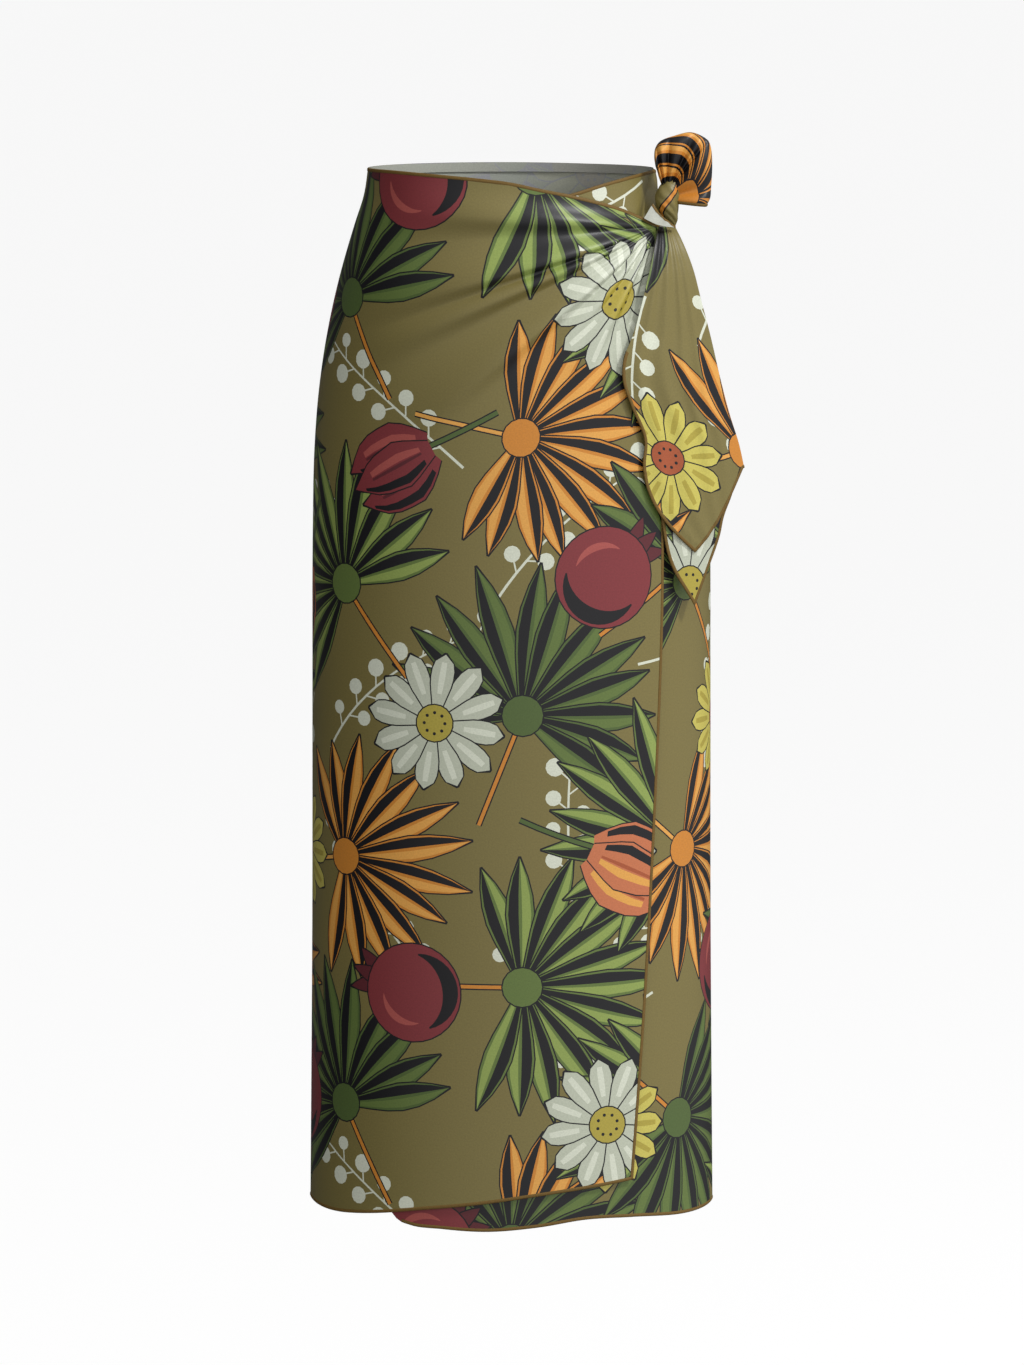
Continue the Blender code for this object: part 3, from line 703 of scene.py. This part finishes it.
# Each crease runs down from the knot: how far across from the free edge, its height and its width.
TAIL_CREASES = [(0.16, 0.0030, 0.06), (0.40, 0.0036, 0.08), (0.63, 0.0026, 0.05), (0.80, 0.0018, 0.05)]
fold_radius = 0.0024
fold_reach = fold_radius * math.pi / 2


def tail_slope(x):
    """How steeply both layers of the tail turn back towards their right edge."""
    return 0.35 + 4.0 * (x - 0.10)


def tail_depth(x, drop):
    return table(TAIL_HANG, drop) + 0.35 * (x - 0.10) + 2.0 * (x - 0.10) ** 2


slope_x = np.linspace(0.08, 0.23, 301)
slope_length = np.concatenate([[0], np.cumsum(np.hypot(1, tail_slope(slope_x))[1:] * np.diff(slope_x))])


def table(known, at):
    """A smooth curve through a table's second column, read along its first."""
    return smooth_between(at, known[:, 0], known[:, 1])


def beside_fold(x, drop):
    """The distance over the cloth from the fold to a place on either layer."""
    fold = np.interp(table(TAIL_FOLD, drop) - fold_radius, slope_x, slope_length)
    return fold - np.interp(x, slope_x, slope_length) + fold_reach


def tail_front_point(aside, drop, out):
    """The front end, which the fold at its right edge turns back over the end behind."""
    fold_x = table(TAIL_FOLD, drop) - fold_radius
    fold = np.interp(fold_x, slope_x, slope_length)
    away = np.maximum(np.abs(aside) - fold_reach, 0)
    x = np.interp(fold - away, slope_length, slope_x)
    rise = tail_slope(x)
    tilt = np.hypot(1, rise)
    y = tail_depth(x, drop)
    width = np.maximum(beside_fold(table(TAIL_FRONT_EDGE, drop), drop) - fold_reach, 0.004)
    across = 1 - away / width
    share = np.clip((drop - 0.05) / 0.30, 0, 1)
    swell = np.sqrt(share) * (1 - share) ** 0.7 * 1.5
    crease = sum(h * np.exp(-(((across - a) / w) ** 2)) for a, h, w in TAIL_CREASES) * swell
    crease = np.where(aside < 0, crease * smooth_step(0, 0.006, away), 0)
    turn = np.clip((aside + fold_reach) / (2 * fold_reach), 0, 1) * math.pi
    # The front looks forward; the half-round fold carries it to the edge that is turned back.
    round_out = fold_radius + out
    forward = np.cos(turn) * round_out - fold_radius + crease
    sideways = np.sin(turn) * round_out
    x_out = x + (forward * rise + sideways) / tilt
    y_out = y + (-forward + sideways * rise) / tilt
    return np.stack([x_out, y_out, -drop + 0 * x], axis=-1)


def tail_back_point(across, drop, out):
    """The end behind lies inside the fold of the front one."""
    x = np.interp(across, slope_length, slope_x)
    rise = tail_slope(x)
    tilt = np.hypot(1, rise)
    y = tail_depth(x, drop)
    behind = 0.0028 + 0.0010 * smooth_step(0.24, 0.38, drop) * np.sin(across * 130) - out
    return np.stack([x - behind * rise / tilt, y + behind / tilt, -drop + 0 * x], axis=-1)


def front_tail_line(drop, x):
    return np.stack([-beside_fold(x, drop), drop], axis=-1)


def back_tail_line(drop, x):
    return np.stack([np.interp(x, slope_x, slope_length), drop], axis=-1)


down = np.linspace(0.050, 0.3372, 90)
share = np.linspace(0, 1, 40)[1:]
front_tip, front_corner = np.array([0.1628, 0.3372]), np.array([0.2085 - fold_radius, 0.265])
slant = front_tip + (front_corner - front_tip) * share[:, None]
turned_back = fold_reach + 0.014
tail_free_edge = np.concatenate([
    front_tail_line(down, table(TAIL_FRONT_EDGE, down)),
    front_tail_line(slant[:, 1] + 0.008 * np.sin(math.pi * share), slant[:, 0]),
    np.stack([np.linspace(-fold_reach, fold_reach, 12), np.full(12, 0.265)], 1)[1:],
])
tail_front_outline = np.concatenate([
    tail_free_edge, np.stack([np.full(60, turned_back), np.linspace(0.262, 0.050, 60)], 1),
])
shapes = print_over(tail_front_outline.min(0), tail_front_outline.max(0), np.array([0.48, 0.36]))
# Lines run down along its creases, and closer ones round the fold.
share = np.concatenate([np.linspace(0.02, 1, 40), 1 + np.linspace(0.02, 1, 9)])
share, drop = np.meshgrid(share, np.linspace(0.051, 0.262, 60), indexing="ij")
width = beside_fold(table(TAIL_FRONT_EDGE, drop), drop) - fold_reach
aside = np.where(share < 1, (share - 1) * width - fold_reach, (2 * share - 3) * fold_reach)
flat, corners, inks = cut_along_print(tail_front_outline, shapes, 0.004, np.stack([aside, drop], -1))
tail_front = close_shell("tail_front_cloth", flat, corners, inks, tail_front_point, 0.0005)
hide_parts("tail")
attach(tail_front, "root")
surface_area(tail_front_point(*flat.T, 0), corners)
# Its lower corner is a point, and its right edge stays inside the fold down to the front end's corner.
back_right = np.array([
    (0.050, 0.1400), (0.100, 0.1600), (0.185, 0.1810), (0.262, 0.2030), (0.285, 0.1985),
    (0.308, 0.1900), (0.323, 0.1870), (0.350, 0.1780), (0.385, 0.1640),
])
down = np.linspace(0.050, 0.384, 110)
tail_back_outline = np.concatenate([
    back_tail_line(down, table(TAIL_BACK_EDGE, down)),
    back_tail_line(down, table(back_right, down))[::-1],
])
shapes = print_over(tail_back_outline.min(0), tail_back_outline.max(0), np.array([0.0, 0.48]))
flat, corners, inks = cut_along_print(tail_back_outline, shapes, 0.005)
tail_back = close_shell("tail_back_cloth", flat, corners, inks, tail_back_point, 0.0005)
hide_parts("tail")
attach(tail_back, "root")
surface_area(tail_back_point(*flat.T, 0), corners)

# The knot: the corner of the wrap wound round itself, drawn tight so that the satin creases aslant.
KNOT = np.array([
    (0.0083, 0.1404, 0.0008), (0.0107, 0.1402, 0.0045), (0.0143, 0.1396, 0.0074),
    (0.0188, 0.1388, 0.0097), (0.0232, 0.1381, 0.0107), (0.0277, 0.1378, 0.0108),
    (0.0321, 0.1378, 0.0103), (0.0366, 0.1382, 0.0091), (0.0411, 0.1397, 0.0071),
    (0.0455, 0.1417, 0.0046), (0.0500, 0.1440, 0.0012),
])
knot_y = -0.0430
knot_girth = math.tau * 0.0100


def knot_point(round_it, drop, out):
    """The outer wrap, which closes to a point above and below."""
    angle = round_it / knot_girth * math.tau
    slant = angle + (drop - KNOT[0, 0]) * 75
    low = smooth_step(0.024, 0.036, drop) * smooth_step(0.050, 0.044, drop)
    crease = 0.0006 * np.sin(2 * slant + 0.6) + low * 0.0010 * np.abs(np.sin(4 * slant))
    crease = crease + 0.0003 * np.sin(5 * slant + 240 * drop)
    radius = table(KNOT[:, ::2], drop)
    inside = (drop > KNOT[0, 0]) * (drop < KNOT[-1, 0])
    radius = (radius + crease * np.minimum(radius / 0.006, 1) + out) * inside
    x = table(KNOT, drop) + radius * np.cos(angle)
    y = knot_y - radius * np.sin(angle)
    return np.stack([x, y, -drop + 0 * x], axis=-1)


def plain_outline(width, low, high, count):
    """A rectangle with close points on all its sides."""
    return np.concatenate([
        np.stack([np.linspace(0, width, count), np.full(count, low)], 1),
        np.stack([np.full(count, width), np.linspace(low, high, count)], 1)[1:],
        np.stack([np.linspace(width, 0, count), np.full(count, high)], 1)[1:],
        np.stack([np.zeros(count), np.linspace(high, low, count)], 1)[1:-1],
    ])


knot_outline = plain_outline(knot_girth, KNOT[0, 0] - 0.0002, KNOT[-1, 0] + 0.0002, 44)
knot_shapes = print_over(knot_outline.min(0), knot_outline.max(0), np.array([0.16, 0.60]))
flat, corners, inks = cut_along_print(knot_outline, knot_shapes, 0.0012)
knot = close_shell("knot_cloth", flat, corners, inks, knot_point, 0.0004)
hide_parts("knot")
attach(knot, "root")
surface_area(knot_point(*flat.T, 0), corners)

# The collar: the end of the cloth's edge, turned over below the knot. Its wrong side shows, pale, and its
# upper edge is overlocked.
COLLAR_TOP = np.array([
    (0.1246, -0.0575, 0.0297), (0.1311, -0.0590, 0.0387), (0.1395, -0.0585, 0.0464),
    (0.1446, -0.0560, 0.0500),
])
COLLAR_HEM = np.array([
    (0.1168, -0.0640, 0.0425), (0.1275, -0.0660, 0.0478), (0.1365, -0.0640, 0.0498),
    (0.1448, -0.0575, 0.0512),
])
collar_size = (0.034, 0.014)


def raised(form):
    """A form with its cloth set off along the form's own normals."""
    def point(u, v, out):
        tiny = 0.0002
        across = form(u + tiny, v) - form(u - tiny, v)
        down = form(u, v + tiny) - form(u, v - tiny)
        normal = np.cross(across, down)
        normal /= np.maximum(np.linalg.norm(normal, axis=-1), 1e-12)[..., None]
        return form(u, v) + normal * out
    return point


def collar_form(along, down):
    """From the collar's upper edge to its lower one, with a hollow and a rise along it."""
    share = np.clip(along / collar_size[0], 0, 1)
    fall = np.clip(down / collar_size[1], 0, 1)
    known = np.linspace(0, 1, len(COLLAR_TOP))
    top = np.stack([smooth_between(share, known, c) for c in COLLAR_TOP.T], -1)
    hem = np.stack([smooth_between(share, known, c) for c in COLLAR_HEM.T], -1)
    x, y, drop = (top + (hem - top) * fall[..., None]).T
    hollow = 0.0022 * np.exp(-(((share - 0.35) / 0.16) ** 2))
    hollow = hollow - 0.0016 * np.exp(-(((share - 0.62) / 0.1) ** 2))
    y = y + hollow * np.sin(math.pi * fall**0.8)
    return np.stack([x, y, -drop], axis=-1)


collar_outline = plain_outline(collar_size[0], 0, collar_size[1], 30)
flat, corners, inks = cut_along_print(collar_outline, [], 0.0012)
collar = close_shell("knot_collar_cloth", flat, corners, inks, raised(collar_form), 0.0005)
collar.data.materials[0] = satin_back
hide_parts("knot_collar")
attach(collar, "root")
surface_area(raised(collar_form)(*flat.T, 0), corners)

# The bow loop: a band that leaves the knot, turns over at its far end and comes back, pinched where it
# enters so that it opens like a fan.
LOOP_ROOTS = np.array([
    (0.1460, 0.0304), (0.1455, 0.0268), (0.1451, 0.0232), (0.1442, 0.0196), (0.1433, 0.0170),
    (0.1420, 0.0150), (0.1402, 0.0140), (0.1379, 0.0138), (0.1362, 0.0141), (0.1348, 0.0145),
    (0.1340, 0.0150), (0.1336, 0.0156),
])
LOOP_TIPS = np.array([
    (0.1719, 0.0330), (0.1757, 0.0259), (0.1766, 0.0160), (0.1775, -0.0027), (0.1763, -0.0188),
    (0.1719, -0.0268), (0.1585, -0.0324), (0.1433, -0.0292), (0.1323, -0.0250), (0.1272, -0.0188),
    (0.1261, -0.0107), (0.1272, -0.0025),
])
# Pleats between its edges: where, how wide and how high, as shares of the whole. They die out at the bend.
PLEATS = [
    (0.07, 0.05, 0.8), (0.19, 0.045, -1.5), (0.32, 0.06, 1.4), (0.445, 0.022, -1.1), (0.485, 0.018, 1.2),
    (0.525, 0.018, -1.0), (0.60, 0.035, 0.9), (0.665, 0.018, -1.1), (0.74, 0.035, 0.9), (0.81, 0.018, -1.0),
    (0.88, 0.03, 0.8), (0.94, 0.015, -0.6),
]
loop_size = (0.080, 0.092)


def loop_form(across, along):
    """Out from the knot to the far edge, round it and back, pleated between its two edges."""
    share = np.clip(across / loop_size[0], 0, 1)
    known = np.linspace(0, 1, len(LOOP_ROOTS))
    root_x, root_drop = (smooth_between(share, known, c) for c in LOOP_ROOTS.T)
    tip_x, tip_drop = (smooth_between(share, known, c) for c in LOOP_TIPS.T)
    turn = np.clip(along / loop_size[1], 0, 1) * math.pi
    reach = np.sin(turn)
    pleat = sum(height * np.exp(-(((share - at) / width) ** 2)) for at, width, height in PLEATS)
    pleat = pleat * (0.0007 + 0.0075 * reach) * (1 - reach) ** 0.8 * np.sign(np.cos(turn))
    half_depth = 0.0030 + 0.0120 * reach
    x = root_x + (tip_x - root_x) * reach
    drop = root_drop + (tip_drop - root_drop) * reach
    y = knot_y - half_depth * np.cos(turn) - pleat
    return np.stack([x, y, -drop], axis=-1)


loop_outline = plain_outline(loop_size[0], 0, loop_size[1], 60)
loop_shapes = print_over(loop_outline.min(0), loop_outline.max(0), np.array([0.32, 0.0]))
across, along = np.meshgrid(
    np.linspace(0.0003, 0.0797, 130), np.linspace(0.001, 0.091, 36), indexing="ij"
)
flat, corners, inks = cut_along_print(loop_outline, loop_shapes, 0.003, np.stack([across, along], -1))
bow_loop = close_shell("bow_loop_cloth", flat, corners, inks, raised(loop_form), -0.0005)
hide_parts("bow_loop")
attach(bow_loop, "root")
surface_area(raised(loop_form)(*flat.T, 0), corners)

# The facing of the back's top edge: a narrow strip inside it, pressed flat, with its wrong side out.
turning_outline = np.concatenate([
    on_form(np.linspace(1.0, 179.0, 90), 0.0012),
    on_form(np.linspace(179.0, 1.0, 90), 0.0092),
])
turning_shapes = print_over(turning_outline.min(0), turning_outline.max(0), np.array([0.48, 0.12]))
flat, corners, inks = cut_along_print(turning_outline, turning_shapes, 0.004)
turning = close_shell(
    "back_waist_turning_cloth", flat, corners, inks,
    lambda arc, drop, out: back_point(arc, drop, -0.0014 + out), 0.0005,
)
turning.data.materials[0] = satin_back
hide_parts("back_waist_turning")
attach(turning, "root")
surface_area(back_point(*flat.T, 0), corners)

# The overlocking: golden olive thread wound closely over the raw edges, a cord of slanting loops 3 mm
# wide. Each line of it is one swept ridge, thicker at every loop. Spun polyester: dull, with fine flecks.
thread = bpy.data.materials.new("overlocking thread")
thread.use_nodes = True
tree = thread.node_tree
tree.nodes.clear()
place = add_nodes(tree, "ShaderNodeNewGeometry")
fleck = add_nodes(
    tree, "ShaderNodeTexNoise", {"Scale": 900, "Detail": 2}, {"Vector": (place, "Position")}
)
tone = add_nodes(
    tree, "ShaderNodeMix",
    {"data_type": "RGBA", 6: colour("#5C4620"), 7: colour("#7E632F")}, {"Factor": (fleck, "Fac")},
)
lustre = add_nodes(
    tree, "ShaderNodeBsdfPrincipled", {"Roughness": 0.55, "Specular IOR Level": 0.25},
    {"Base Color": (tone, 2)},
)
add_nodes(tree, "ShaderNodeOutputMaterial", links={"Surface": (lustre, "BSDF")})


CLOTH = 0.0005
LOOP_STEP = 0.0016
# The cord's section: how far in from the edge and how far out from the cloth's face.
CORD = np.array([
    (-0.0004, -0.0002), (0.0003, 0.0004), (0.0014, 0.0005), (0.0024, 0.0004), (0.0029, 0.0000),
    (0.0024, -0.0009), (0.0014, -0.0010), (0.0003, -0.0009),
])


def overlock(name, edge, to_space):
    """Thread over one raw edge, given as flat points with the cloth on their left."""
    rough = to_space(*edge.T, 0)
    gone = np.concatenate([[0], np.cumsum(np.linalg.norm(np.diff(rough, axis=0), axis=1))])
    steps = np.arange(0, gone[-1], 0.00055)
    u, v = (np.interp(steps, gone, c) for c in edge.T)
    ahead = np.stack([np.gradient(u), np.gradient(v)], axis=-1)
    ahead /= np.linalg.norm(ahead, axis=1)[:, None]
    within_u, within_v = u - ahead[:, 1] * 0.001, v + ahead[:, 0] * 0.001
    lip = to_space(u, v, 0)
    inward = to_space(within_u, within_v, 0) - lip
    inward /= np.linalg.norm(inward, axis=1)[:, None]
    upward = to_space(u, v, 0.001) - lip
    upward /= np.linalg.norm(upward, axis=1)[:, None]
    middle = np.array((0.0012, -CLOTH / 2))
    wave = 0.5 + 0.5 * np.cos(math.tau * (steps[:, None] / LOOP_STEP + CORD[None, :, 0] * 260))
    swell = (0.72 + 0.36 * wave)[..., None]
    shape = middle + (CORD - middle) * np.concatenate([0.94 + 0 * swell, swell], axis=-1)
    cord = lip[:, None] + inward[:, None] * shape[..., :1] + upward[:, None] * shape[..., 1:]
    sides, rows = len(CORD), len(steps)
    a = np.arange(rows - 1)[:, None] * sides + np.arange(sides)
    b = np.arange(rows - 1)[:, None] * sides + (np.arange(sides) + 1) % sides
    faces = np.stack([a, b, b + sides, a + sides], -1).reshape(-1, 4).tolist()
    faces += [list(range(sides))[::-1], list(range((rows - 1) * sides, rows * sides))]
    mesh = bpy.data.meshes.new(name)
    mesh.from_pydata(cord.reshape(-1, 3).tolist(), [], faces)
    mesh.polygons.foreach_set("use_smooth", [True] * len(faces))
    mesh.materials.append(thread)
    piece = bpy.data.objects.new(name, mesh)
    bpy.context.scene.collection.objects.link(piece)
    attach(piece, "root")


overlock("over_front_overlock", over_outline[1:-180], over_front_point)
overlock("under_front_top_overlock", under_outline[26:80], under_front_point)
overlock("under_front_hem_overlock", under_outline[260:345], under_front_point)
overlock("back_hem_overlock", back_outline[271:388][::-1], back_point)
overlock("tail_front_overlock", tail_free_edge[33:][::-1], tail_front_point)
overlock("bow_loop_lower_overlock", loop_outline[-60:], raised(loop_form))
overlock("collar_overlock", collar_outline[:30], raised(collar_form))
overlock("tail_back_overlock", tail_back_outline[70:150][::-1], tail_back_point)

# The floor: a plain pale one, far wider than what the camera sees, half a metre below the hem.
far, level = 100.0, -1.45
mesh = bpy.data.meshes.new("floor")
mesh.from_pydata(
    [(-far, -far, level), (far, -far, level), (far, far, level), (-far, far, level)], [], [(0, 1, 2, 3)]
)
floor = bpy.data.objects.new("floor", mesh)
bpy.context.scene.collection.objects.link(floor)
# It sends no light up to the cloth, as when the skirt is hung well in front of its background.
floor.visible_diffuse = floor.visible_glossy = False
# Opal acrylic lit from behind: it stays an even near-white and takes hardly any shadow.
paper = bpy.data.materials.new("opal acrylic, lit from behind")
paper.use_nodes = True
opal = paper.node_tree.nodes["Principled BSDF"].inputs
opal["Base Color"].default_value = colour("#9A9A9A")
opal["Roughness"].default_value = 0.9
opal["Specular IOR Level"].default_value = 0.0
opal["Emission Color"].default_value = (1, 1, 1, 1)
opal["Emission Strength"].default_value = 0.745
mesh.materials.append(paper)

# The lights: one soft box, high at the right and front, and light all round that is strongest on the same
# side and falls off softly towards the back and the left.
lamp = bpy.data.lights.new("key", "AREA")
lamp.shape, lamp.size, lamp.energy = "SQUARE", 0.55, 112
key = bpy.data.objects.new("key", lamp)
key.location = (2.7, -1.8, 3.1)
key.rotation_euler = (Vector((0, 0, -0.4)) - key.location).to_track_quat("-Z", "Y").to_euler()
bpy.context.scene.collection.objects.link(key)
world = bpy.data.worlds.new("light all round")
world.use_nodes = True
sky = world.node_tree
way = add_nodes(sky, "ShaderNodeTexCoord")
facing = add_nodes(
    sky, "ShaderNodeVectorMath", {"operation": "DOT_PRODUCT", 1: (0.62, -0.66, 0.42)},
    {0: (way, "Generated")},
)
strength = add_nodes(
    sky, "ShaderNodeMapRange",
    {"interpolation_type": "SMOOTHSTEP", "From Min": -0.47, "From Max": 0.90, "To Min": 0.08, "To Max": 0.98},
    {"Value": (facing, "Value")},
)
sky.links.new(strength.outputs["Result"], sky.nodes["Background"].inputs["Strength"])
sky.nodes["Background"].inputs["Color"].default_value = (1, 1, 1, 1)
bpy.context.scene.world = world

# The camera looks slightly down from the front through a long lens, 5.6 m away. Colours are shown as they
# are, without a film curve.
camera = bpy.data.cameras.new("camera")
camera.sensor_fit, camera.sensor_height, camera.lens = "VERTICAL", 36, 165.5
viewer = bpy.data.objects.new("camera", camera)
viewer.location = (0.0005, -5.6, 0.28)
viewer.rotation_euler = (math.radians(90 - 7.563), 0, 0)
bpy.context.scene.collection.objects.link(viewer)
bpy.context.scene.camera = viewer
bpy.context.scene.view_settings.view_transform = "Standard"
